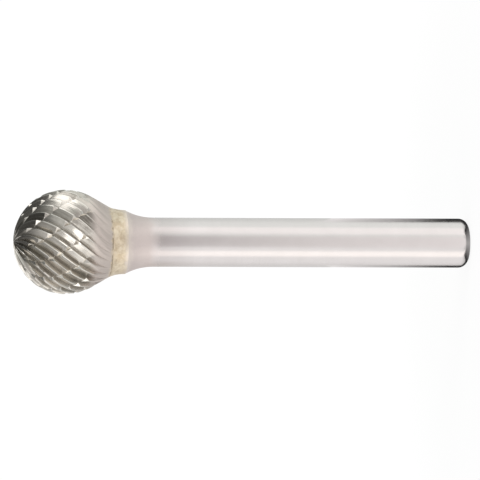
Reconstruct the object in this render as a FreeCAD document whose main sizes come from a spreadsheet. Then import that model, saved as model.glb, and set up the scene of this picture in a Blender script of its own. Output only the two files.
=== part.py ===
import FreeCAD, Part
import math
import os

import Sketcher
from FreeCAD import Vector

# Rotary burr: a double-cut carbide ball brazed to a flared steel shank. Millimetres and degrees.
# +Z runs along the axis towards the ball, and the origin is the centre of the shank's end face.

os.makedirs("parts", exist_ok=True)
doc = FreeCAD.newDocument("rotary_burr")

# Driving sizes

driving_sizes = [
    ("shank_diameter", 6.0, "ground cylinder that the collet grips"),
    ("shank_length", 43.35, "steel shank, end face to joint face"),
    ("end_radius", 1.2, "rounding of the shank's end"),
    ("flare_radius", 7.0, "hollow flare from the cylinder to the collar"),
    ("collar_diameter", 7.8, "widest part of the steel, behind the braze"),
    ("collar_bevel", 0.95, "axial length of the steel's bevel at the joint"),
    ("joint_diameter", 6.8, "flat faces that are brazed together"),
    ("braze_gap", 0.15, "filler between the two flat faces"),
    ("braze_hollow", 4.8, "radius of the filler's hollow outside"),
    ("ball_diameter", 12.7, "over the crests of the teeth"),
    ("back_angle", 30.0, "cone behind the ball, from the axis"),
    ("neck_diameter", 8.5, "carbide where the filler's fillet starts"),
    ("neck_bevel", 0.81, "axial length of the carbide's bevel at the joint"),
    ("run_out", 0.39, "smooth cone left between the flutes and the neck"),
    ("flute_count", 26, "right-hand flutes"),
    ("flute_lead", 53.4, "advance of a flute in one turn"),
    ("flute_depth", 0.55, "ball to root at the ball's widest"),
    ("flute_start", -96.6, "angle of the first root at the ball's widest"),
    ("rake_share", 0.14, "part of the pitch taken by the steep rake face"),
    ("breaker_count", 12, "left-hand chip breakers"),
    ("breaker_lead", 56.0, "advance of a chip breaker in one turn"),
    ("breaker_depth", 0.36, "ball to bottom of a chip breaker at the ball's widest"),
    ("breaker_angle", 95.0, "opening of the chip breaker's V"),
    ("breaker_start", -95.0, "angle of the first chip breaker at the ball's widest"),
    ("breaker_tip_angle", 18.0, "where chip breakers start, from the axis at the ball's centre"),
    ("dimple_diameter", 0.6, "centre dimple where the flutes meet at the tip"),
    ("dimple_depth", 0.25, "depth of the centre dimple"),
    ("stock_margin", 0.5, "round stock over the ball, before it is ground"),
]
sheet = doc.addObject("Spreadsheet::Sheet", "sizes")
for row, (alias, value, note) in enumerate(driving_sizes, start=1):
    sheet.set(f"A{row}", note)
    sheet.set(f"B{row}", str(value))
    sheet.setAlias(f"B{row}", alias)

# Heights along the axis that follow from the driving sizes

derived_sizes = [
    ("collar_height", "=shank_length - collar_bevel", "widest part of the steel"),
    ("head_height", "=shank_length + braze_gap", "joint face of the carbide"),
    ("neck_height", "=head_height + neck_bevel", "where the filler meets the cone behind the ball"),
    ("ball_height", "=neck_height + ball_diameter / 2 * sin(back_angle * 1 deg)"
     " + (ball_diameter / 2 * cos(back_angle * 1 deg) - neck_diameter / 2) / tan(back_angle * 1 deg)",
     "centre of the ball"),
]
for row, (alias, formula, note) in enumerate(derived_sizes, start=len(driving_sizes) + 1):
    sheet.set(f"A{row}", note)
    sheet.set(f"B{row}", formula)
    sheet.setAlias(f"B{row}", alias)
doc.recompute()


def size(alias):
    return float(sheet.get(alias))


shank_radius = size("shank_diameter") / 2
collar_radius = size("collar_diameter") / 2
joint_radius = size("joint_diameter") / 2
neck_radius = size("neck_diameter") / 2
ball_radius = size("ball_diameter") / 2
ball_height = size("ball_height")
back_angle = math.radians(size("back_angle"))
touch_radius = ball_radius * math.cos(back_angle)
touch_behind = ball_radius * math.sin(back_angle)
neck_height = size("neck_height")


# Turned pieces: outlines in sketches on the XZ plane, x the radius and y the height


class Outline:
    """A closed outline in a sketch of its own body. An edge is its number, start and end point."""

    def __init__(self, label):
        self.body = doc.addObject("PartDesign::Body", label)
        self.body.Label = label
        plane = next(item for item in self.body.Origin.OriginFeatures if item.Role == "XZ_Plane")
        self.sketch = self.body.newObject("Sketcher::SketchObject", label + "_outline")
        self.sketch.AttachmentSupport = (plane, [""])
        self.sketch.MapMode = "FlatFace"

    def line(self, start, end):
        edge = Part.LineSegment(Vector(*start, 0), Vector(*end, 0))
        return self.sketch.addGeometry(edge), 1, 2

    def arc(self, centre, start, end, clockwise=False):
        """An arc about a centre. Sketch arcs run anticlockwise, so a clockwise one is swapped."""
        circle = Part.Circle(Vector(*centre, 0), Vector(0, 0, 1), math.dist(centre, start))
        angles = [math.atan2(y - centre[1], x - centre[0]) for x, y in (start, end)]
        if clockwise:
            return self.sketch.addGeometry(Part.ArcOfCircle(circle, angles[1], angles[0])), 2, 1
        return self.sketch.addGeometry(Part.ArcOfCircle(circle, *angles)), 1, 2

    def rule(self, *args):
        return self.sketch.addConstraint(Sketcher.Constraint(*args))

    def drive(self, formula, *args):
        """A dimension that follows the sheet."""
        number = self.rule(*args, float(self.sketch.evalExpression(formula)))
        self.sketch.setExpression(f"Constraints[{number}]", formula)

    def drive_point(self, edge, across, up):
        """The start of an edge at a radius and a height."""
        self.drive(across, "DistanceX", -1, 1, edge[0], edge[1])
        self.drive(up, "DistanceY", -1, 1, edge[0], edge[1])

    def close(self, edges, smooth=()):
        """Joins the edges end to end, tangent after those in smooth."""
        for edge, following in zip(edges, edges[1:] + edges[:1]):
            kind = "Tangent" if edge in smooth else "Coincident"
            self.rule(kind, edge[0], edge[2], following[0], following[1])

    def turn(self):
        feature = self.body.newObject("PartDesign::Revolution", self.body.Label + "_turned")
        feature.Profile = self.sketch
        feature.ReferenceAxis = (self.sketch, ["V_Axis"])
        feature.Angle = 360.0
        doc.recompute()
        return self.body


def bulge_centre(start, end, radius):
    """Centre of an arc through two points, on the right of the way from start to end."""
    chord = math.dist(start, end)
    along = [(b - a) / chord for a, b in zip(start, end)]
    rise = math.sqrt(radius ** 2 - chord ** 2 / 4)
    return ((start[0] + end[0]) / 2 + along[1] * rise, (start[1] + end[1]) / 2 - along[0] * rise)


# Shank

outline = Outline("shank")
end_radius = size("end_radius")
flare_radius = size("flare_radius")
flare_rise = math.sqrt(flare_radius ** 2 - (flare_radius - collar_radius + shank_radius) ** 2)
flare_foot = (shank_radius, size("collar_height") - flare_rise)
collar = (collar_radius, size("collar_height"))
joint = (joint_radius, size("shank_length"))
end_face = outline.line((0, 0), (shank_radius - end_radius, 0))
rounding = outline.arc((shank_radius - end_radius, end_radius),
                       (shank_radius - end_radius, 0), (shank_radius, end_radius))
cylinder = outline.line((shank_radius, end_radius), flare_foot)
flare = outline.arc((shank_radius + flare_radius, flare_foot[1]), flare_foot, collar, clockwise=True)
bevel = outline.line(collar, joint)
joint_face = outline.line(joint, (0, joint[1]))
axis = outline.line((0, joint[1]), (0, 0))
outline.close([end_face, rounding, cylinder, flare, bevel, joint_face, axis],
              smooth=[end_face, rounding, cylinder])
outline.rule("Coincident", end_face[0], 1, -1, 1)
outline.rule("Horizontal", end_face[0])
outline.rule("Vertical", cylinder[0])
outline.rule("Horizontal", joint_face[0])
outline.rule("Vertical", axis[0])
outline.drive("sizes.end_radius", "Radius", rounding[0])
outline.drive("sizes.flare_radius", "Radius", flare[0])
outline.drive("sizes.shank_diameter / 2", "DistanceX", -1, 1, cylinder[0], 1)
outline.drive_point(bevel, "sizes.collar_diameter / 2", "sizes.collar_height")
outline.drive_point(joint_face, "sizes.joint_diameter / 2", "sizes.shank_length")
shank = outline.turn()

# Braze joint: a disc between the flat faces and a hollow fillet over the two bevels

outline = Outline("braze_joint")
neck = (neck_radius, neck_height)
head_joint = (joint_radius, size("head_height"))
steel_face = outline.line((0, joint[1]), joint)
steel_bevel = outline.line(joint, collar)
hollow = outline.arc(bulge_centre(collar, neck, size("braze_hollow")), collar, neck, clockwise=True)
head_bevel = outline.line(neck, head_joint)
head_face = outline.line(head_joint, (0, head_joint[1]))
axis = outline.line((0, head_joint[1]), (0, joint[1]))
outline.close([steel_face, steel_bevel, hollow, head_bevel, head_face, axis])
outline.rule("PointOnObject", steel_face[0], 1, -2)
outline.rule("Horizontal", steel_face[0])
outline.rule("Horizontal", head_face[0])
outline.rule("Vertical", axis[0])
outline.drive("sizes.braze_hollow", "Radius", hollow[0])
outline.drive_point(steel_bevel, "sizes.joint_diameter / 2", "sizes.shank_length")
outline.drive("sizes.collar_diameter / 2", "DistanceX", -1, 1, steel_bevel[0], 2)
outline.drive("sizes.collar_height", "DistanceY", -1, 1, steel_bevel[0], 2)
outline.drive_point(head_bevel, "sizes.neck_diameter / 2", "sizes.neck_height")
outline.drive_point(head_face, "sizes.joint_diameter / 2", "sizes.head_height")
braze = outline.turn()

# Round stock of the cutting head, with its back cone turned but no ball and no teeth yet

outline = Outline("head_stock")
stock_radius = ball_radius + size("stock_margin")
stock_top = ball_height + stock_radius
shoulder = (stock_radius, ball_height - touch_behind + (stock_radius - touch_radius) / math.tan(back_angle))
head_face = outline.line((0, head_joint[1]), head_joint)
head_bevel = outline.line(head_joint, neck)
cone = outline.line(neck, shoulder)
side = outline.line(shoulder, (stock_radius, stock_top))
top = outline.line((stock_radius, stock_top), (0, stock_top))
axis = outline.line((0, stock_top), (0, head_joint[1]))
outline.close([head_face, head_bevel, cone, side, top, axis])
outline.rule("PointOnObject", head_face[0], 1, -2)
outline.rule("Horizontal", head_face[0])
outline.rule("Vertical", side[0])
outline.rule("Horizontal", top[0])
outline.rule("Vertical", axis[0])
outline.drive("sizes.back_angle * 1 deg", "Angle", cone[0], 1, -2, 1)
outline.drive_point(head_bevel, "sizes.joint_diameter / 2", "sizes.head_height")
outline.drive_point(cone, "sizes.neck_diameter / 2", "sizes.neck_height")
outline.drive_point(top, "sizes.ball_diameter / 2 + sizes.stock_margin",
                    "sizes.ball_height + sizes.ball_diameter / 2 + sizes.stock_margin")
stock = outline.turn()

# Teeth. A place on the head is a slope, the angle from the tip at the ball's centre, and a turn
# about the axis, both in degrees. Every tooth has three lines from tip to neck: its root, its
# crest and the next root. A line is known by how far aside it lies from the first root.

depth_power = 0.8
crest_lift_angle = 10.0
facet_angle = 10.0
rear_margin = 1.0
halvings = 40
flute_count = round(size("flute_count"))
flute_pitch = 360 / flute_count
rake_width = size("rake_share") * flute_pitch
back_width = flute_pitch - rake_width
breaker_pitch = 360 / round(size("breaker_count"))
depth_share = size("breaker_depth") / size("flute_depth")
cone_slope = 90 + size("back_angle")
last_notch_slope = cone_slope - crest_lift_angle / 2


def cosine(angle):
    return math.cos(math.radians(angle))


def sine(angle):
    return math.sin(math.radians(angle))


def leaving_slope():
    """Where the roots leave their circle for the straight line that runs out on the cone."""
    behind = ball_height - neck_height - size("run_out")
    radius = touch_radius - (behind - touch_behind) * math.tan(back_angle)
    root_radius = ball_radius - size("flute_depth")
    run_out_slope = 90 + math.degrees(math.atan2(behind, radius))
    return run_out_slope - math.degrees(math.acos(root_radius / math.hypot(behind, radius)))


crest_leaves = cone_slope - crest_lift_angle
root_leaves = leaving_slope()


def rear_slope(leaves, radius):
    """Slope at which a line that left its circle passes the joint face by the rear margin."""
    behind = ball_height - size("head_height") + rear_margin
    across = (radius + behind * cosine(leaves)) / sine(leaves)
    return 90 + math.degrees(math.atan2(behind, across))


first_slope = math.degrees(math.asin(size("dimple_diameter") / 2 / ball_radius))
last_slope = max(rear_slope(crest_leaves, ball_radius),
                 rear_slope(root_leaves, ball_radius - size("flute_depth")))


def growth(slope):
    """Cuts are shallow at the tip, where they crowd, and full from the ball's widest on."""
    return sine(min(slope, 90)) ** depth_power


def crest_reach(slope):
    """Distance of the crests from the ball's centre. Behind, they pass out through the cone."""
    return ball_radius / cosine(max(slope - crest_leaves, 0))


def root_reach(slope):
    return (ball_radius - size("flute_depth") * growth(slope)) / cosine(max(slope - root_leaves, 0))


def twist(slope, lead):
    """Degrees turned since the ball's widest: even over the front, faster behind."""
    behind = -cosine(slope)
    return -(behind + max(behind, 0.0) ** 3 / 3) * ball_radius * 360 / lead


def place(slope, reach, aside):
    turned = size("flute_start") + aside + twist(slope, size("flute_lead"))
    across = reach * sine(slope)
    return Vector(across * cosine(turned), across * sine(turned), ball_height + reach * cosine(slope))


def phase(slope, aside):
    """Whole numbers are where chip breakers cross a line. It grows from tip to neck."""
    breaker = size("breaker_start") + twist(slope, -size("breaker_lead"))
    return (breaker - size("flute_start") - aside - twist(slope, size("flute_lead"))) / breaker_pitch


def slope_at(wanted, aside):
    """Slope where a line has the wanted phase, by halving."""
    low, high = 0.0, 180.0
    for _ in range(halvings):
        middle = (low + high) / 2
        if phase(middle, aside) < wanted:
            low = middle
        else:
            high = middle
    return low


def crossings(aside):
    """The chip breakers that cross a line, as whole phases."""
    return range(math.ceil(phase(first_slope, aside)), math.ceil(phase(last_slope, aside)))


def filled(marks):
    """The marked slopes, with steps between them of at most the facet angle."""
    slopes = marks[:1]
    for start, end in zip(marks, marks[1:]):
        steps = math.ceil((end - start) / facet_angle)
        slopes += [start + (end - start) * step / steps for step in range(1, steps + 1)]
    return slopes


def root_line(aside):
    marks = [first_slope, *(slope_at(number, aside) for number in crossings(aside)), last_slope]
    return [(phase(slope, aside), place(slope, root_reach(slope), aside)) for slope in filled(marks)]


def notch_half_slope(slope):
    """Half of a chip breaker's opening, measured along a crest."""
    flute_tangent = 2 * math.pi * ball_radius / size("flute_lead") * sine(slope) ** 2
    breaker_tangent = 2 * math.pi * ball_radius / size("breaker_lead") * sine(slope) ** 2
    crossing_angle = math.atan(flute_tangent) + math.atan(breaker_tangent)
    half_width = size("breaker_depth") * growth(slope) * math.tan(math.radians(size("breaker_angle") / 2))
    along = half_width / math.sin(crossing_angle) * math.cos(math.atan(flute_tangent))
    return math.degrees(along / ball_radius)


def notched_crest(aside):
    """The crest as the rake face meets it, as the back meets it, and the walls of its notches.

    A notch goes down both faces of the tooth to where its bottom comes out.
    """
    runs = [[first_slope]]
    bottoms = []
    walls = []
    for number in crossings(aside):
        middle = slope_at(number, aside)
        if not size("breaker_tip_angle") <= middle <= last_notch_slope:
            runs[-1].append(middle)
            continue
        rim_slopes = (middle - notch_half_slope(middle), middle + notch_half_slope(middle))
        runs[-1].append(rim_slopes[0])
        runs.append([rim_slopes[1]])
        before, after = (place(slope, crest_reach(slope), aside) for slope in rim_slopes)
        sides = (aside + depth_share * rake_width, aside - depth_share * back_width)
        on_rake, on_back = (notch_bottom(number, side) for side in sides)
        bottoms.append((number, on_rake, on_back))
        walls += [(before, on_rake, on_back), (on_rake, after, on_back)]
    runs[-1].append(last_slope)
    slopes = [slope for run in runs for slope in filled(run)]
    crest = [(phase(slope, aside), place(slope, crest_reach(slope), aside)) for slope in slopes]
    rake = crest + [(number, on_rake) for number, on_rake, _ in bottoms]
    back = crest + [(number, on_back) for number, _, on_back in bottoms]
    return sorted(rake, key=phase_of), sorted(back, key=phase_of), walls


def notch_bottom(number, aside):
    slope = slope_at(number, aside)
    return place(slope, ball_radius - size("breaker_depth") * growth(slope), aside)


def phase_of(pair):
    return pair[0]


def zipped(line, other):
    """Triangles between two lines of (phase, point), stepping along whichever lags."""
    triangles = []
    at, over = 0, 0
    while at < len(line) - 1 or over < len(other) - 1:
        ahead = line[at + 1][0] if at < len(line) - 1 else math.inf
        other_ahead = other[over + 1][0] if over < len(other) - 1 else math.inf
        if ahead <= other_ahead:
            triangles.append((line[at][1], line[at + 1][1], other[over][1]))
            at += 1
        else:
            triangles.append((line[at][1], other[over + 1][1], other[over][1]))
            over += 1
    return triangles


def toothed_form():
    """All the teeth, closed by a dimple at the tip and a cone inside the neck."""
    triangles = []
    ends = []
    for number in range(flute_count):
        aside = -number * flute_pitch
        rake, back, walls = notched_crest(aside - rake_width)
        root, next_root = root_line(aside), root_line(aside - flute_pitch)
        triangles += zipped(root, rake) + zipped(back, next_root) + walls
        ends += [(line[0][1], line[-1][1]) for line in (root, rake)]
    tip_centre = Vector(0, 0, ball_height + ball_radius - size("dimple_depth"))
    rear_centre = place(180, crest_reach(last_slope), 0)
    for (tip_end, rear_end), (next_tip_end, next_rear_end) in zip(ends, ends[1:] + ends[:1]):
        triangles += [(tip_centre, tip_end, next_tip_end), (rear_centre, next_rear_end, rear_end)]
    faces = [Part.Face(Part.makePolygon([*corners, corners[0]])) for corners in triangles]
    shell = Part.makeShell(faces)
    shell.sewShape()
    solid = Part.makeSolid(shell)
    if solid.Volume < 0:
        solid.reverse()
    return solid


form = doc.addObject("Part::Feature", "toothed_form")
form.Shape = toothed_form()
head = doc.addObject("Part::Common", "cutting_head")
head.Label = "cutting_head"
head.Base = stock
head.Tool = form
doc.recompute()

# Checks, then one file for each piece

for item in doc.Objects:
    if "Invalid" in item.State or "Error" in item.State:
        raise RuntimeError(f"{item.Label} failed: {item.State}")
for piece in (shank, braze, head):
    shape = piece.Shape
    if shape.isNull() or not shape.isValid() or len(shape.Solids) != 1:
        raise RuntimeError(f"{piece.Label} is not one valid solid")
    shape.exportStep(f"parts/{piece.Label}.step")
    print(f"{piece.Label}: {shape.Volume:.2f} mm3, {len(shape.Faces)} faces")
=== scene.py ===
import math
import random

import bpy
import numpy as np
from mathutils import Matrix, Vector


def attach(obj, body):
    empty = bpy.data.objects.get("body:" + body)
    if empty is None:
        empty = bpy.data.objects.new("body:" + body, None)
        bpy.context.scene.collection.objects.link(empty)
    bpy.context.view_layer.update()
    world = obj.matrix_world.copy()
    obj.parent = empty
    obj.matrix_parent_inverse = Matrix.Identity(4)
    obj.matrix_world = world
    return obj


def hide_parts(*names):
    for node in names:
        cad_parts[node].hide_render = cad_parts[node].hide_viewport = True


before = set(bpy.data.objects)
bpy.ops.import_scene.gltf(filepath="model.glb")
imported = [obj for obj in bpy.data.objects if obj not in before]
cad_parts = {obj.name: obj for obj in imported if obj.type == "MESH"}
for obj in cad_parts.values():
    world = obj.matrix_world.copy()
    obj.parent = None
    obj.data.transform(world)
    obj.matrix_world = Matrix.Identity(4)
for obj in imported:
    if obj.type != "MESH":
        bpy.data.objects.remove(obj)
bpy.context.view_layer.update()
mm = 0.001
print("frame loaded:", sorted(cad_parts))


# Shader maths: a Wire is a socket that can be used in a Python expression

class Wire:
    def __init__(self, bench, socket):
        self.bench, self.socket = bench, socket

    def maths(self, operation, *others, clamp=False):
        return self.bench.node("ShaderNodeMath", {"operation": operation, "use_clamp": clamp},
                               dict(enumerate((self, *others))))

    def __add__(self, other):
        return self.maths("ADD", other)

    def __mul__(self, other):
        return self.maths("MULTIPLY", other)

    def __sub__(self, other):
        return self.maths("SUBTRACT", other)

    def __rsub__(self, other):
        return self.bench.node("ShaderNodeMath", {"operation": "SUBTRACT"}, {0: other, 1: self})

    __radd__, __rmul__ = __add__, __mul__

    def clipped(self):                                     # kept between 0 and 1
        return self.maths("MULTIPLY", 1.0, clamp=True)

    def about(self, swing):                                # a noise as a change up and down, swing in all
        return (self - 0.5) * swing


# A Bench holds the node tree of one material or of the world, and makes its nodes

class Bench:
    def __init__(self, owner):
        owner.use_nodes = True
        self.tree = owner.node_tree
        self.tree.nodes.clear()

    def node(self, kind, settings=None, sockets=None, output=0):
        made = self.tree.nodes.new(kind)
        for key, value in (settings or {}).items():
            if key == "stops":
                ramp = made.color_ramp.elements
                while len(ramp) < len(value):
                    ramp.new(1.0)
                for stop, (at, colour) in zip(ramp, value):
                    stop.position, stop.color = at, colour
            else:
                setattr(made, key, value)
        for key, value in (sockets or {}).items():
            if isinstance(value, Wire):
                self.tree.links.new(value.socket, made.inputs[key])
            else:
                made.inputs[key].default_value = value
        return Wire(self, made.outputs[output]) if made.outputs else made

    def vector(self, operation, *parts, output=0):
        return self.node("ShaderNodeVectorMath", {"operation": operation}, dict(enumerate(parts)), output)

    def joined(self, x, y, z=0.0):
        return self.node("ShaderNodeCombineXYZ", {}, {0: x, 1: y, 2: z})

    def split(self, vector):
        apart = self.node("ShaderNodeSeparateXYZ", {}, {0: vector}).socket.node
        return [Wire(self, socket) for socket in apart.outputs]

    def mixed(self, share, first, second):                 # two colours
        return self.node("ShaderNodeMix", {"data_type": "RGBA"}, {0: share, 6: first, 7: second}, output=2)

    def leant(self, share, first, second):                 # two vectors
        return self.node("ShaderNodeMix", {"data_type": "VECTOR"}, {0: share, 4: first, 5: second}, output=1)

    def noise(self, vector, scale, detail, rough):
        return self.node("ShaderNodeTexNoise", {},
                         {"Vector": vector, "Scale": scale, "Detail": detail, "Roughness": rough})

    def stepped(self, value, low, high):                   # 0 below low, 1 above high, smooth between
        return self.node("ShaderNodeMapRange", {"interpolation_type": "SMOOTHSTEP"},
                         {0: value, 1: low, 2: high, 3: 0.0, 4: 1.0})

    def attribute(self, name):
        return self.node("ShaderNodeAttribute", {"attribute_name": name}, output="Fac")

    def place(self):                                       # object coordinates in millimetres
        return self.vector("MULTIPLY", self.node("ShaderNodeTexCoord", output="Object"), (1 / mm,) * 3)

    def bumped(self, height, strength, distance, normal=None):
        sockets = {"Height": height, "Strength": strength, "Distance": distance * mm}
        if normal:
            sockets["Normal"] = normal
        return self.node("ShaderNodeBump", {}, sockets)

    def feed(self, **sockets):
        for key, value in sockets.items():
            self.tree.links.new(value.socket, self.shader.inputs[key.replace("_", " ")])


def shade(red, green, blue):        # a colour as a picture shows it, 0 to 255, turned linear
    return tuple(((c / 255 + 0.055) / 1.055) ** 2.4 if c > 10 else c / 255 / 12.92
                 for c in (red, green, blue)) + (1.0,)


def grey(tone):
    return (tone, tone, tone, 1)


def finish(name, **uniform):
    material = bpy.data.materials.new(name)
    bench = Bench(material)
    bench.shader = bench.node("ShaderNodeBsdfPrincipled", {}, uniform).socket.node
    bench.node("ShaderNodeOutputMaterial", {}, {"Surface": Wire(bench, bench.shader.outputs[0])})
    return material, bench


def newPiece(name, points, faces, material):
    mesh = bpy.data.meshes.new(name)
    mesh.from_pydata([tuple(point) for point in points], [], faces)
    mesh.materials.append(material)
    mesh.validate()
    piece = bpy.data.objects.new(name, mesh)
    bpy.context.scene.collection.objects.link(piece)
    return piece


def smoothed(piece, sharpFrom):     # degrees between two faces from which an edge stays sharp
    piece.data.shade_smooth()
    piece.data.set_sharp_from_angle(angle=math.radians(sharpFrom))
    return piece


# Camera: on the -Y side, a little above, lying on its side so that the head is at the left

cameraSet = {
    "aim": (0.300, 0.0, 28.185),   # mm
    "distance": 1000.0,
    "above": 9.0,                  # degrees down to the burr
    "roll": -0.18,                 # the shank's end sits a trace low
    "halfView": 0.02924,           # tangent of half the field of view
    "sensor": 36.0,
    "clip": (0.01, 20.0),          # metres
}


def setCamera():
    s = cameraSet
    above = math.radians(s["above"])
    forward = Vector((0, math.cos(above), -math.sin(above)))
    up = Matrix.Rotation(math.radians(s["roll"]), 3, forward) @ Vector((1, 0, 0))
    right = forward.cross(up)
    data = bpy.data.cameras.new("camera")
    data.sensor_width = s["sensor"]
    data.lens = s["sensor"] / 2 / s["halfView"]
    data.clip_start, data.clip_end = s["clip"]
    camera = bpy.data.objects.new("camera", data)
    spot = Vector(s["aim"]) - forward * s["distance"]
    camera.matrix_world = Matrix.Translation(spot * mm) @ Matrix((right, up, -forward)).transposed().to_4x4()
    bpy.context.scene.collection.objects.link(camera)
    bpy.context.scene.camera = camera


setCamera()
print("camera set")


# Cutting head: the ball with its teeth. A place is a slope, the angle from the tip at the ball's
# centre, and a turn about the axis. Lengths in mm, angles in degrees.

headSet = {
    "ball": 6.35, "ballHeight": 49.649,
    "neck": 4.25, "neckHeight": 44.31, "joint": 3.4, "jointHeight": 43.5,
    "backAngle": 30.0, "coneFrom": 100.0,          # the back cone, which only cuts behind this slope
    "dimple": 0.3, "dimpleDepth": 0.25,            # where the teeth meet at the tip
    "flutes": 26, "fluteLead": 53.4, "fluteDepth": 0.55, "fluteStart": -96.6,
    "rakeShare": 0.14,                             # of a tooth's pitch, from its root to its crest
    "land": 0.07,                                  # ground edge behind the crest, in pitches
    "landDrop": 0.02, "rootRise": 0.015,           # in flute depths
    "rake": [(0.0, 0.96), (0.03, 0.82), (0.075, 0.46)],     # pitches along, flute depths down
    "crestBevel": (0.01, 0.03),                    # the same, short of the crest
    "back": [0.27, 0.36, 0.46, 0.56, 0.66, 0.76, 0.86, 0.94],
    "crestLeaves": 110.0, "rootLeaves": 108.3,     # slopes where crest and root leave the ball
    "softening": 0.05,                             # how gently the flutes run out on the cone
    "breakers": 12, "breakerLead": 56.0, "breakerDepth": 0.36, "breakerAngle": 95.0,
    "breakerStart": -95.0, "breakerTip": 18.0, "lastNotch": 115.0,
    "crossing": 0.045,                             # half a chip breaker's line across a tooth
    "uncut": 0.02,                                 # half the same rows where it doesn't cut
    "betweenNotches": 8,                           # rows of points from one notch to the next
    "leastApart": 0.1,                             # mm between two notches, at the tip where they crowd
    "depthPower": 0.8,                             # how soon the cuts grow deep from the tip on
    "slopeSteps": 3600,                            # of the tables
    "crestHighlightEnd": (118, 12), "gulletEnd": (134, 14),  # slope where the painted crest highlight and the gullets' stain and painted shade are gone, degrees that it takes
    "gulletStart": 30,                             # slope where the gullets are full
    "hiddenSlope": 150.0,                          # what the joint face counts as
    "sharpFrom": 22,
    "seed": 6,
    "wallTones": (0.75, 1.0), "faceTones": (0.08, 0.75),    # lowest and highest, high for a painted highlight on the notch walls; lowest and range
    "tipTone": 0.2, "jointTone": 0.5,
    # painted highlights and painted shade: places where the ground faces are painted brighter or duller, how
    # far that reaches, and how much
    "paintedLightAndShade": [((4.97, -3.94, 49.95), 1.8, 0.6), ((0.36, -6.33, 49.3), 1.7, 0.6),
                 ((2.6, -5.0, 46.7), 0.9, -0.5), ((3.3, -5.3, 48.7), 1.0, -0.3),
                 ((-2.7, -5.5, 48.0), 1.0, 0.45)],
}
farKey = 1e9                       # the key of a column's last row, and minus it of the first
keysPerNotch = 100                 # a row's key is its notch's number times this, plus its rank
hair = 0.001                       # pitches, more than the rounding of a sum
notchParts = (-1, -0.5, 0, 0.5, 1)     # a notch's rows, from its first edge over its bottom to the other
firstBetween = 10                  # the rank of the first row between two notches


def headTables():                  # how the teeth run, for each slope from the tip to the back
    h = headSet
    slopes = np.linspace(0, 180, h["slopeSteps"] + 1)
    sine = np.sin(np.radians(slopes))
    behind = -np.cos(np.radians(slopes))
    # over a lead, wound is the turn: even over the front of the ball, faster behind
    wound = (behind + np.maximum(behind, 0) ** 3 / 3) * h["ball"] * 360
    crossed = wound * (1 / h["breakerLead"] + 1 / h["fluteLead"])
    growth = np.sin(np.radians(np.minimum(slopes, 90))) ** h["depthPower"]
    tangent = np.gradient(np.radians(wound / h["breakerLead"]), np.radians(slopes)) * sine
    spacing = math.radians(360 / h["breakers"]) * h["ball"] * sine / np.sqrt(1 + tangent ** 2)
    return slopes, wound, crossed, growth, spacing


def toothProfile():                # up the rake, over the land and down the back: share of pitch, of depth
    h = headSet
    crest, land, drop = h["rakeShare"], h["land"], h["landDrop"]
    short, down = h["crestBevel"]
    profile = [*h["rake"], (crest - short, down), (crest, 0.0), (crest + land, drop)]
    profile += [(at, drop + (1 - drop) * (at - crest - land) / (1 - crest - land)) for at in h["back"]]
    last, depth = profile[-1]
    return profile[:-1] + [(last, depth - h["rootRise"])]


def breakerFlare():
    return math.tan(math.radians(headSet["breakerAngle"] / 2))


def rowsDown(aside, crestAside, depth, tables):
    # the rows of one column, by how many chip breakers they have passed: that phase, a key that
    # neighbouring columns share, and in a notch the way off its middle
    h = headSet
    slopes, _, crossed, growth, spacing = tables
    phases, crestPhases = ((h["breakerStart"] - h["fluteStart"] - side + crossed) / (360 / h["breakers"])
                           for side in (aside, crestAside))
    firstSlope = math.degrees(math.asin(h["dimple"] / h["ball"]))
    rimSlope = 90 + math.degrees(math.atan2(h["ballHeight"] - h["neckHeight"], h["neck"]))
    low, high = np.interp([firstSlope, rimSlope], slopes, phases)
    rows = [(low, -farKey, None)]
    for number in range(math.floor(low) - 1, math.ceil(high) + 2):
        cut = h["breakerTip"] <= np.interp(number, crestPhases, slopes) <= h["lastNotch"]
        here = np.interp(number, phases, slopes)
        grown = np.interp(here, slopes, growth)
        apart = max(np.interp(here, slopes, spacing), h["leastApart"])
        room = (h["breakerDepth"] - depth * h["fluteDepth"]) * grown * breakerFlare() if cut else 0.0
        half = max(room, h["crossing"] if cut else h["uncut"]) / apart
        for rank, part in enumerate(notchParts):
            rows.append((number + part * half, number * keysPerNotch + rank,
                         abs(part) * half * apart if cut else None))
        for rank in range(h["betweenNotches"]):
            along = half + (1 - 2 * half) * (rank + 1) / (h["betweenNotches"] + 1)
            rows.append((number + along, number * keysPerNotch + firstBetween + rank, None))
    rows.append((high, farKey, None))
    return phases, [row for row in rows if low <= row[0] <= high]


def toothPoint(slope, aside, depth, offNotch, tables):
    h = headSet
    slopes, wound, _, growth, _ = tables
    ball = h["ball"]
    grown = float(np.interp(slope, slopes, growth))
    crest = ball / math.cos(math.radians(max(slope - h["crestLeaves"], 0)))
    root = (ball - h["fluteDepth"] * grown) / math.cos(math.radians(max(slope - h["rootLeaves"], 0)))
    reach = crest + (root - crest) * depth
    if offNotch is not None:
        reach = min(reach, ball - h["breakerDepth"] * grown + offNotch / breakerFlare())
    if slope > h["coneFrom"]:
        cone = ball / math.cos(math.radians(max(slope - 90 - h["backAngle"], 0)))
        gap = max(h["softening"] - abs(cone - reach), 0.0)
        reach = min(cone, reach) - gap * gap / h["softening"] / 4
    turned = math.radians(h["fluteStart"] + aside - float(np.interp(slope, slopes, wound)) / h["fluteLead"])
    across = reach * math.sin(math.radians(slope))
    return (across * math.cos(turned) * mm, across * math.sin(turned) * mm,
            (h["ballHeight"] + reach * math.cos(math.radians(slope))) * mm)


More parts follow.
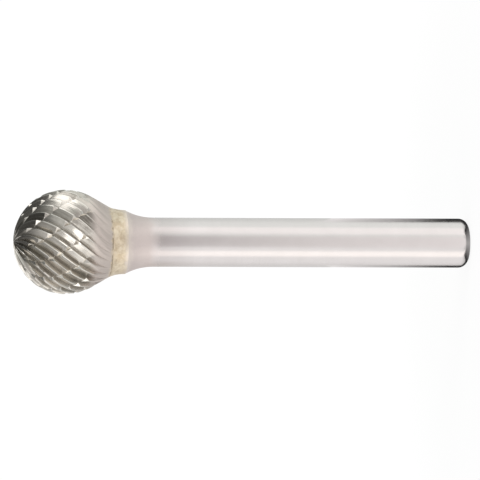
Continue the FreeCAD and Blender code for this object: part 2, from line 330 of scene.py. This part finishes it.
def headColumns():                 # (flute, share of its pitch, depth, [(key, point, slope)]) round the ball
    h = headSet
    tables = headTables()
    pitch = 360 / h["flutes"]
    columns = []
    for flute in range(h["flutes"]):
        crestAside = -(flute + h["rakeShare"]) * pitch
        for at, depth in toothProfile():
            aside = -(flute + at) * pitch
            phases, rows = rowsDown(aside, crestAside, depth, tables)
            column = []
            for phase, key, offNotch in rows:
                slope = float(np.interp(phase, phases, tables[0]))
                column.append((key, toothPoint(slope, aside, depth, offNotch, tables), slope))
            columns.append((flute, at, depth, column))
    return columns


def stitched(ring, other):         # faces between two columns: the lower key ahead, face, corner reached
    here = over = 0
    while here < len(ring) - 1 or over < len(other) - 1:
        ahead = ring[here + 1][0] if here < len(ring) - 1 else math.inf
        otherAhead = other[over + 1][0] if over < len(other) - 1 else math.inf
        if ahead == otherAhead:
            face = (ring[here][1], ring[here + 1][1], other[over + 1][1], other[over][1])
            here, over = here + 1, over + 1
        elif ahead < otherAhead:
            face = (ring[here][1], ring[here + 1][1], other[over][1])
            here += 1
        else:
            face = (ring[here][1], other[over + 1][1], other[over][1])
            over += 1
        yield min(ahead, otherAhead), face, ring[here][1]


def facetOf(key):                  # the notch that a face follows, and which wall of it, or 0 between
    if abs(key) >= farKey:
        return key, 0
    rank, bottom = key % keysPerNotch, notchParts.index(0)
    wall = 1 if 0 < rank <= bottom else 2 if bottom < rank < len(notchParts) else 0
    return math.floor((key - 0.5) / keysPerNotch), wall


def facetTone(wall, place):
    # painted highlight: the notch walls get a lighter tone than the faces
    if wall:
        return random.uniform(*headSet["wallTones"])
    # painted highlight and painted shade: faces near the listed places get a brighter or duller tone
    near = sum(much * math.exp(-((place - Vector(at)).length / reach) ** 2)
               for at, reach, much in headSet["paintedLightAndShade"])
    lowest, more = headSet["faceTones"]
    return lowest + random.random() * more + near


def sideOf(at):                    # the side of a tooth that starts at this share of its pitch
    crest, landEnd = headSet["rakeShare"], headSet["rakeShare"] + headSet["land"]
    return "rake" if at < crest - hair else "land" if at < landEnd - hair else "back"


def fadedOut(slope, end, over):
    return min(max((end - slope) / over, 0), 1)


def buildHead(material):
    h = headSet
    points, rings = [], []
    values = {"crestWear": [], "gullet": [], "slopeDown": [], "acrossTeeth": []}
    for flute, at, depth, column in headColumns():
        ring = []
        # painted highlight: the crest land is marked to be painted lighter, less so towards the neck
        edge = 1.0 if abs(at - h["rakeShare"] - h["land"] / 2) < h["land"] else 0.0
        for key, point, slope in column:
            ring.append((key, len(points)))
            points.append(point)
            values["crestWear"].append(edge * fadedOut(slope, *h["crestHighlightEnd"]))
            # stain and painted shade: marked darker the deeper in the gullet
            deep = depth * min(slope / h["gulletStart"], 1)
            values["gullet"].append(deep * fadedOut(slope, *h["gulletEnd"]))
            values["slopeDown"].append(slope)
            values["acrossTeeth"].append(flute + at)
        rings.append((flute, at, ring))

    faces, tones, toneOf = [], [], {}
    random.seed(h["seed"])
    perTurn = h["breakers"] * keysPerNotch
    for index, (flute, at, ring) in enumerate(rings):
        other = rings[(index + 1) % len(rings)][2]
        if index == len(rings) - 1:                # round the seam the chip breakers' numbers start again
            other = [(key + perTurn if abs(key) < farKey else key, number) for key, number in other]
        side = sideOf(at)
        for key, face, corner in stitched(ring, other):
            notch, wall = facetOf(key)
            facet = (flute, side, notch, wall)
            if facet not in toneOf:
                toneOf[facet] = facetTone(wall, Vector(points[corner]) / mm)
            faces.append(face)
            tones.append(toneOf[facet])

    tip = len(points)
    points.append((0, 0, (h["ballHeight"] + h["ball"] - h["dimpleDepth"]) * mm))
    heel = len(points)
    starts = [ring[0][1] for _, _, ring in rings]
    ends = [ring[-1][1] for _, _, ring in rings]
    for end in ends:                               # bevel down to the joint face
        x, y, _ = points[end]
        shrink = h["joint"] / h["neck"]
        points.append((x * shrink, y * shrink, h["jointHeight"] * mm))
    centre = len(points)
    points.append((0, 0, h["jointHeight"] * mm))
    for index in range(len(ends)):
        following = (index + 1) % len(ends)
        faces.append((tip, starts[index], starts[following]))
        faces.append((ends[index], heel + index, heel + following, ends[following]))
        faces.append((heel + index, centre, heel + following))
        tones += [h["tipTone"], h["jointTone"], h["jointTone"]]

    piece = newPiece("cuttingHead", points, faces, material)
    for name, known in values.items():
        rest = h["hiddenSlope"] if name == "slopeDown" else 0.0
        known += [rest] * (len(points) - len(known))
        store(piece.data, name, "POINT", known)
    store(piece.data, "facetTone", "FACE", tones)
    piece.data.flip_normals()                      # stitched lays the faces inside out
    return smoothed(piece, h["sharpFrom"])


def store(mesh, name, domain, values):
    mesh.attributes.new(name, "FLOAT", domain).data.foreach_set("value", np.array(values, np.float32))


# Finishes: a noise is its scale for each mm, its detail and its roughness

carbideSet = {
    # the gullets are painted darker with stain and painted shade
    "light": shade(228, 222, 213), "dark": shade(146, 141, 132), "gullet": shade(119, 112, 102),
    # the crest lands are painted lighter as a highlight
    "edge": shade(240, 236, 228), "neck": shade(220, 209, 202), "seam": shade(140, 120, 98),
    "roughness": 0.2,
    "fineMarks": (34.0, 0.05), "coarseMarks": (3.0, 0.02),     # grinding marks for each tooth, each degree
    "cloud": (1.3, 3.0, 0.55), "speck": (9.0, 2.0, 0.6), "creep": (1.6, 3.0, 0.6),
    "teethFade": (108.0, 124.0),   # slopes over which the teeth grow shallow and matt towards the neck
    "coneTakes": (114.0, 128.0), "coneShare": 0.6,     # slopes over which the plain cone shows through
    "stainAndShading": 0.46, "neckShare": 0.85, "edgeShare": 0.85,
    "film": (44.3, 44.75), "filmShare": 0.85,      # mm: how far the filler's film creeps up
    "seamEnd": (44.4, 44.56), "seamShare": 0.6,    # mm: a darker, broken line beside the filler
    "leaning": 0.22,               # every ground face leans its own way
    "leanSpread": 57.3,            # turns a tone into the number that picks the lean
}


def carbideNormal(b, x, y, tone, slopeDown, fading):
    s = carbideSet
    slant = math.radians(headSet["backAngle"])
    outwards = b.vector("NORMALIZE", b.joined(x, y))
    cone = b.vector("MULTIPLY_ADD", outwards, (math.cos(slant),) * 3, (0, 0, -math.sin(slant)))
    drawn = b.node("ShaderNodeTexWhiteNoise", {"noise_dimensions": "1D"}, {"W": tone * s["leanSpread"]},
                   output=1)
    lean = b.vector("MULTIPLY", b.vector("SUBTRACT", drawn, (0.5,) * 3), (1 - fading) * s["leaning"])
    facing = b.leant(b.stepped(slopeDown, *s["coneTakes"]) * s["coneShare"],
                     b.node("ShaderNodeNewGeometry", output="Normal"), cone)
    return b.vector("NORMALIZE", b.vector("ADD", facing, lean))


def carbideFinish():
    s = carbideSet
    material, b = finish("groundCarbide", Metallic=1.0, IOR=2.4)
    here = b.place()
    x, y, z = b.split(here)
    tone, crestHighlight, gullet = b.attribute("facetTone"), b.attribute("crestWear"), b.attribute("gullet")
    slopeDown, across = b.attribute("slopeDown"), b.attribute("acrossTeeth")
    fine, coarse = (b.joined(across * perTooth, slopeDown * perDegree)
                    for perTooth, perDegree in (s["fineMarks"], s["coarseMarks"]))
    lines = b.noise(fine, 1.0, 3.0, 0.6)
    steps = b.noise(coarse, 1.0, 2.0, 0.6)
    cloud = b.noise(here, *s["cloud"])
    speck = b.noise(here, *s["speck"])

    bright = (tone + cloud.about(0.5) + lines.about(0.45) + steps.about(0.9)).clipped()
    colour = b.mixed(bright, s["dark"], s["light"])
    fading = b.stepped(slopeDown, *s["teethFade"])
    # stain and painted shade: darker towards the gullets' bottoms
    stainAndShade = (b.stepped(gullet, 0.35 + fading * 0.45, 1.0) * (0.45 + cloud * 0.7)).clipped() * s["stainAndShading"]
    colour = b.mixed(stainAndShade, colour, s["gullet"])
    colour = b.mixed(fading * (1 - stainAndShade) * s["neckShare"], colour, s["neck"])
    # painted highlight: the crest lands are painted lighter
    colour = b.mixed(crestHighlight * s["edgeShare"], colour, s["edge"])
    film = 1 - b.stepped(z + b.noise(here, *s["creep"]).about(1.0), *s["film"])
    colour = b.mixed(film * s["filmShare"], colour, brazeSet["light"])
    seam = (1 - b.stepped(z + speck.about(0.5), *s["seamEnd"])) * b.stepped(cloud, 0.42, 0.58)
    colour = b.mixed(seam * s["seamShare"], colour, s["seam"])

    rough = s["roughness"] + lines.about(0.16) + speck.about(0.1) + stainAndShade * 0.2 + film * 0.15 + fading * 0.3
    normal = carbideNormal(b, x, y, tone, slopeDown, fading)
    normal = b.bumped(lines, 0.2, 0.012, normal)
    normal = b.bumped(speck, 0.05, 0.02, normal)
    normal = b.bumped(steps, 0.8, 0.05, normal)
    b.feed(Base_Color=colour, Roughness=rough.clipped(), Normal=normal)
    return material


# Braze: a hollow fillet of filler round the joint. An outline's point is a radius and a height in mm.

brazeSet = {
    "light": shade(238, 224, 200), "deep": shade(206, 188, 160), "pale": shade(240, 230, 222),
    "hollow": 4.8,                 # radius between the shank's collar and the head's neck
    "sides": 224, "rows": 28, "sharpFrom": 30,
    "uneven": 0.016,               # mm; waves are how many round, start, twist over the height, and share
    "waves": [(3, 0.0, 5, 1.0), (7, 1.3, -9, 0.6), (13, 0.0, 4, 0.35)],
    "patch": (1.2, 5.0, 0.65), "fine": (5.0, 3.0, 0.6),
    "thinning": (42.2, 43.1), "thinShare": 0.75,   # mm: the filler thins out over the steel
    "roughness": 0.36,
}


def brazeFinish():
    s = brazeSet
    material, b = finish("brazeFiller", Metallic=0.85)
    here = b.place()
    height = b.split(here)[2]
    patch = b.noise(here, *s["patch"])
    fine = b.noise(here, *s["fine"])
    colour = b.mixed(b.stepped(patch, 0.35, 0.66), s["deep"], s["light"])
    colour = b.mixed(b.stepped(fine, 0.55, 0.75) * 0.5, colour, s["pale"])
    thin = 1 - b.stepped(height + patch.about(1.2), *s["thinning"])
    colour = b.mixed(thin * s["thinShare"], colour, s["pale"])
    normal = b.bumped(patch, 0.35, 0.12)
    normal = b.bumped(fine, 0.25, 0.03, normal)
    b.feed(Base_Color=colour, Roughness=s["roughness"] + fine.about(0.3), Normal=normal)
    return material


def lathed(name, outline, sides, sharpFrom, material, wobble=None):
    points, faces = [], []
    for row, (radius, height) in enumerate(outline):
        for step in range(sides):
            turned = 2 * math.pi * step / sides
            grown = radius + (wobble(row, turned) if wobble else 0.0)
            points.append((grown * math.cos(turned) * mm, grown * math.sin(turned) * mm, height * mm))
    for row in range(len(outline) - 1):
        for step in range(sides):
            following = (step + 1) % sides
            faces.append((row * sides + step, row * sides + following,
                          (row + 1) * sides + following, (row + 1) * sides + step))
    for row, outwards in ((0, False), (len(outline) - 1, True)):
        ring = [row * sides + step for step in range(sides)]
        faces.append(tuple(ring if outwards else reversed(ring)))
    return smoothed(newPiece(name, points, faces, material), sharpFrom)


def hollowArc(start, end, radius, steps):          # bends towards the axis between its ends
    (r0, z0), (r1, z1) = start, end
    chord = math.hypot(r1 - r0, z1 - z0)
    rise = math.sqrt(radius ** 2 - chord ** 2 / 4)
    middleR = (r0 + r1) / 2 + (z1 - z0) / chord * rise
    middleZ = (z0 + z1) / 2 - (r1 - r0) / chord * rise
    first, last = math.atan2(z0 - middleZ, r0 - middleR), math.atan2(z1 - middleZ, r1 - middleR)
    swept = (last - first + math.pi) % (2 * math.pi) - math.pi
    angles = [first + swept * step / steps for step in range(steps + 1)]
    return [(middleR + radius * math.cos(angle), middleZ + radius * math.sin(angle)) for angle in angles]


def buildBraze(material):
    s, h = brazeSet, headSet
    rows = s["rows"]
    fillet = hollowArc(shankSet["collar"], (h["neck"], h["neckHeight"]), s["hollow"], rows)
    outline = [shankSet["joint"], *fillet, (h["joint"], h["jointHeight"])]

    def uneven(row, turned):
        share = (row - 1) / rows
        if not 0 < share < 1:
            return 0.0
        wave = sum(much * math.sin(turned * count + start + share * twist)
                   for count, start, twist, much in s["waves"])
        return s["uneven"] * wave * math.sin(math.pi * share)
    return lathed("brazeFillet", outline, s["sides"], s["sharpFrom"], material, uneven)


# Shank: turned steel, ground where a collet grips it

shankSet = {
    "radius": 3.0, "endFace": 0.9, "endRadius": 1.2, "flareRadius": 7.0, "flareFoot": 38.97,
    "collar": (3.9, 42.4), "joint": (3.4, 43.35), "sides": 256, "sharpFrom": 30,
    "endRows": 15, "cylinderRows": 40, "flareRows": 20,
    "ground": shade(236, 231, 230), "groundDark": shade(214, 208, 206), "blasted": shade(233, 222, 218),
    "blastedDark": shade(207, 196, 192), "heatTintAndShade": shade(196, 186, 184),
    "rings": (0.6, 26.0),          # turning marks: for each radian round, for each mm along
    "cloud": (0.35, 3.0, 0.55), "grit": (14.0, 2.0, 0.6),
    "border": (0.8, 3.0, 0.5), "creep": (1.3, 3.0, 0.6),
    "blastedFrom": (38.2, 39.9), "heatTintAndShadeFrom": (33.0, 39.0), "filmFrom": (41.6, 42.4),     # mm; the darker band before the flare is heat tint and painted shade
    "heatTintAndShadeShare": 0.45, "filmShare": 0.8,
    "groundRough": 0.235, "blastedRough": 0.5,
}


def steelFinish():
    s = shankSet
    material, b = finish("shankSteel", Metallic=1.0)
    here = b.place()
    x, y, z = b.split(here)
    turned = b.node("ShaderNodeMath", {"operation": "ARCTAN2"}, {0: y, 1: x})
    rings = b.noise(b.joined(turned * s["rings"][0], z * s["rings"][1]), 1.0, 3.0, 0.65)
    cloud = b.noise(here, *s["cloud"])
    grit = b.noise(here, *s["grit"])
    blasted = b.stepped(z + b.noise(here, *s["border"]).about(1.2), *s["blastedFrom"])
    # heat tint and painted shade: the ground steel darkens towards the flare
    heatTintAndShade = b.stepped(z, *s["heatTintAndShadeFrom"]) * (1 - blasted)
    bright = (0.62 + rings.about(0.7) + cloud.about(0.5)).clipped()
    ground = b.mixed(bright, s["groundDark"], s["ground"])
    ground = b.mixed(heatTintAndShade * s["heatTintAndShadeShare"], ground, s["heatTintAndShade"])
    matt = b.mixed((cloud * 0.4 + grit * 0.9 - 0.2).clipped(), s["blasted"], s["blastedDark"])
    colour = b.mixed(blasted, ground, matt)
    film = b.stepped(z + b.noise(here, *s["creep"]).about(1.2), *s["filmFrom"])
    colour = b.mixed(film * s["filmShare"], colour, brazeSet["pale"])
    rough = ((s["groundRough"] + rings.about(0.14)) * (1 - blasted)
             + (s["blastedRough"] + grit.about(0.2)) * blasted)
    height = rings * (1 - blasted) * 0.35 + grit * blasted * 1.6
    b.feed(Base_Color=colour, Roughness=rough, Normal=b.bumped(height, 0.3, 0.012))
    return material


def buildShank(material):
    s = shankSet
    r, e = s["radius"], s["endRadius"]
    rounding = [(r - e + e * math.sin(angle), e - e * math.cos(angle))
                for angle in np.linspace(0, math.pi / 2, s["endRows"])]
    cylinder = [(r, z) for z in np.linspace(e, s["flareFoot"], s["cylinderRows"])[1:]]
    flare = hollowArc((r, s["flareFoot"]), s["collar"], s["flareRadius"], s["flareRows"])[1:]
    outline = [(s["endFace"], 0.0), *rounding, *cylinder, *flare, s["joint"]]
    return lathed("shankTurned", outline, s["sides"], s["sharpFrom"], material)


for piece, node, slot in ((buildHead(carbideFinish()), "cutting_head", "carbide"),
                          (buildBraze(brazeFinish()), "braze_joint", "braze"),
                          (buildShank(steelFinish()), "shank", "steel")):
    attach(piece, "root")
    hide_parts(node)
    print(piece.name, "built:", len(piece.data.polygons), "faces")


# Floor, sky, mirrored cards and lamps. A turn is in degrees from the camera's side, + towards +X.

white = (1, 1, 1, 1)
stageSet = {
    "middle": 28.0,                # mm: the height that the lamps face
    "floorSide": 4000.0, "floorColour": grey(0.8), "floorGlow": 1.04,
    "shadowReach": (20.0, 90.0),   # mm from the burr, where the floor's own shading fades to plain white
    "shadowShare": 0.15,
    "worldLight": 0.75,            # on everything that isn't glossy
    # what polished metal mirrors of the sky, from straight down to straight up
    "mirrored": [(0.0, 0.62), (0.2, 0.7), (0.32, 0.95), (0.49, 0.98), (0.57, 0.7), (0.75, 0.66), (1.0, 0.64)],
    "behind": (0.1, 0.9), "behindDim": 0.22,       # less of it lies behind the burr
    "overheadWay": (0.17, 0.45, 0.88), "overhead": (0.51, 0.85), "overheadDim": 0.85,    # and least overhead
    "sideTint": (0.965, 1, 0.98, 1), "tintFrom": (-0.5, 0.7),
}
pink, warm, cream, amber = (1, 0.972, 0.968, 1), (1, 0.985, 0.975, 1), (1, 0.975, 0.95, 1), (1, 0.95, 0.9, 1)
mirrorCards = {                    # turn, distance, width, tint, and (height, brightness) from the lowest up
    "greyZone": (4, 200, 192, pink, [(-300, 1.0), (-47, 1.0), (-30, 0.96), (-17, 0.92), (-3, 0.84),
                                     (4, 0.5), (10, 0.4), (14, 0.42)]),
    "headZone": (11, 200, 250, pink, [(14, 0.46), (24, 0.5), (60, 0.6), (110, 0.55)]),
    "upperBand": (57, 190, 122, warm, [(-300, 1.13), (14, 1.15)]),
    "upperHeadBand": (66, 190, 88, warm, [(14, 1.22), (60, 1.24)]),
    "upperWindow": (72, 180, 150, white, [(68, 1.65), (215, 1.8)]),
    "creamBand": (-54, 190, 92, cream, [(-300, 1.3), (34, 1.34)]),
    "lowerWindow": (-31, 180, 160, white, [(36, 0.9), (80, 1.7), (175, 2.0)]),
    "lowBehind": (-138, 90, 150, amber, [(24, 0.72), (50, 0.64), (80, 0.48)]),
}
besideTones = [(-30, 0.0), (1, 0.03), (3, 0.12), (5, 0.3), (8, 0.5), (12, 0.7), (16, 0.95)]
endCards = {                       # dark cards close to the shank's end: centre, width, tones along Z
    "besideEndUp": ((10.5, 5.5, -7), 15, besideTones),
    "besideEndDown": ((-6.8, 5.5, -7), 7.6, besideTones),
}
endCardHeight = 46
underEnd = {"height": -1, "side": 7.6,             # under the end face, tones along X
            "tones": [(-3.0, 0.04), (-1.9, 0.2), (0, 0.46), (1.9, 0.2), (3.0, 0.04)]}
lamps = {                          # turn, distance, height, side, watts, colour
    "keyLight": (60, 420, 300, 260, 0.45, (1, 1, 1)),
    "fillLight": (-70, 480, 220, 300, 0.25, (1.0, 0.98, 0.95)),
}


def rays(b):                       # 1 where the camera, and where a reflection or a refraction looks
    path = b.node("ShaderNodeLightPath").socket.node
    camera, gloss, through = (Wire(b, path.outputs[name]) for name in
                              ("Is Camera Ray", "Is Glossy Ray", "Is Transmission Ray"))
    return camera, (gloss + through).clipped()


def floorFinish():
    s = stageSet
    material = bpy.data.materials.new("plainFloor")
    b = Bench(material)
    camera, gloss = rays(b)
    lit = b.node("ShaderNodeBsdfDiffuse", {}, {"Color": s["floorColour"]})
    glow = b.node("ShaderNodeEmission", {}, {"Color": white, "Strength": s["floorGlow"]})
    shaded = (1 - b.stepped(b.vector("LENGTH", b.place(), output=1), *s["shadowReach"])) * s["shadowShare"]
    both = b.node("ShaderNodeMixShader", {}, {0: (camera + gloss).clipped() * (1 - shaded), 1: lit, 2: glow})
    b.node("ShaderNodeOutputMaterial", {}, {"Surface": both})
    return material


def setWorld():
    s = stageSet
    world = bpy.data.worlds.new("studio")
    bpy.context.scene.world = world
    b = Bench(world)
    camera, gloss = rays(b)
    way = b.node("ShaderNodeTexCoord", output="Generated")
    x, y, z = b.split(way)
    stops = [(at, grey(tone)) for at, tone in s["mirrored"]]
    level = b.node("ShaderNodeValToRGB", {"stops": stops}, {0: z * 0.5 + 0.5})
    overhead = b.stepped(b.vector("DOT_PRODUCT", way, s["overheadWay"], output=1), *s["overhead"])
    seen = (b.node("ShaderNodeRGBToBW", {}, {0: level}) * (1 - b.stepped(y, *s["behind"]) * s["behindDim"])
            * (1 - overhead * s["overheadDim"]))
    strength = camera + gloss * seen + (1 - camera) * (1 - gloss) * s["worldLight"]
    tint = b.mixed(b.stepped(x, *s["tintFrom"]), white, s["sideTint"])
    sky = b.node("ShaderNodeBackground", {}, {"Color": b.mixed(camera, tint, white), "Strength": strength})
    b.node("ShaderNodeOutputWorld", {}, {"Surface": sky})


def flatCard(name, centre, facing, up, width, height, material):
    facing, up = Vector(facing).normalized(), Vector(up)
    side = up.cross(facing).normalized()
    up = facing.cross(side)
    corners = [Vector(centre) + side * width / 2 * a + up * height / 2 * b
               for a, b in ((-1, -1), (1, -1), (1, 1), (-1, 1))]
    card = newPiece(name, [corner * mm for corner in corners], [(0, 1, 2, 3)], material)
    return card


def cardFinish(name, tint, tones, axis=2):         # tones: (place in mm, brightness), from the lowest up
    material = bpy.data.materials.new(name)
    b = Bench(material)
    low, high = tones[0][0], tones[-1][0]
    brightest = 2.0                                # a stop's colour stays under 1
    stops = [((at - low) / (high - low), tuple(part * tone / brightest for part in tint[:3]) + (1,))
             for at, tone in tones]
    along = (b.split(b.place())[axis] - low) * (1 / (high - low))
    level = b.node("ShaderNodeValToRGB", {"stops": stops}, {0: along})
    glow = b.node("ShaderNodeEmission", {}, {"Color": level, "Strength": brightest})
    b.node("ShaderNodeOutputMaterial", {}, {"Surface": glow})
    return material


def around(turned, distance, height):
    angle = math.radians(turned)
    return Vector((math.sin(angle) * distance, -math.cos(angle) * distance, height))


def mirrorCard(name, turned, distance, width, tint, tones):
    low, high = tones[0][0], tones[-1][0]
    spot = around(turned, distance, (low + high) / 2)
    return flatCard(name, spot, -Vector((spot.x, spot.y, 0)), (0, 0, 1), width, high - low,
                    cardFinish(name + "Finish", tint, tones))


def softLight(name, turned, distance, height, side, power, colour):
    data = bpy.data.lights.new(name, "AREA")
    data.shape, data.size, data.size_y = "RECTANGLE", side * mm, side * mm
    data.energy, data.color = power, colour
    lamp = bpy.data.objects.new(name, data)
    lamp.location = around(turned, distance, height) * mm
    towards = Vector((0, 0, stageSet["middle"] * mm)) - lamp.location
    lamp.rotation_euler = towards.to_track_quat("-Z", "Y").to_euler()
    lamp.visible_glossy = lamp.visible_camera = False
    bpy.context.scene.collection.objects.link(lamp)


floor = flatCard("floor", (0, 0, 0), (0, 0, 1), (0, 1, 0), stageSet["floorSide"], stageSet["floorSide"],
                 floorFinish())
floor.visible_glossy = False
setWorld()
cards = [mirrorCard(name, *card) for name, card in mirrorCards.items()]
cards.append(flatCard("underEnd", (0, 0, underEnd["height"]), (0, 0, 1), (0, 1, 0), underEnd["side"],
                      underEnd["side"], cardFinish("underEndFinish", white, underEnd["tones"], axis=0)))
for name, (centre, width, tones) in endCards.items():
    cards.append(flatCard(name, centre, (0, -1, 0), (0, 0, 1), width, endCardHeight,
                          cardFinish(name + "Finish", white, tones)))
for card in cards:
    card.visible_camera = card.visible_diffuse = card.visible_shadow = card.visible_transmission = False
for name, lamp in lamps.items():
    softLight(name, *lamp)
print("stage set")

bpy.context.scene.view_settings.view_transform = "Standard"
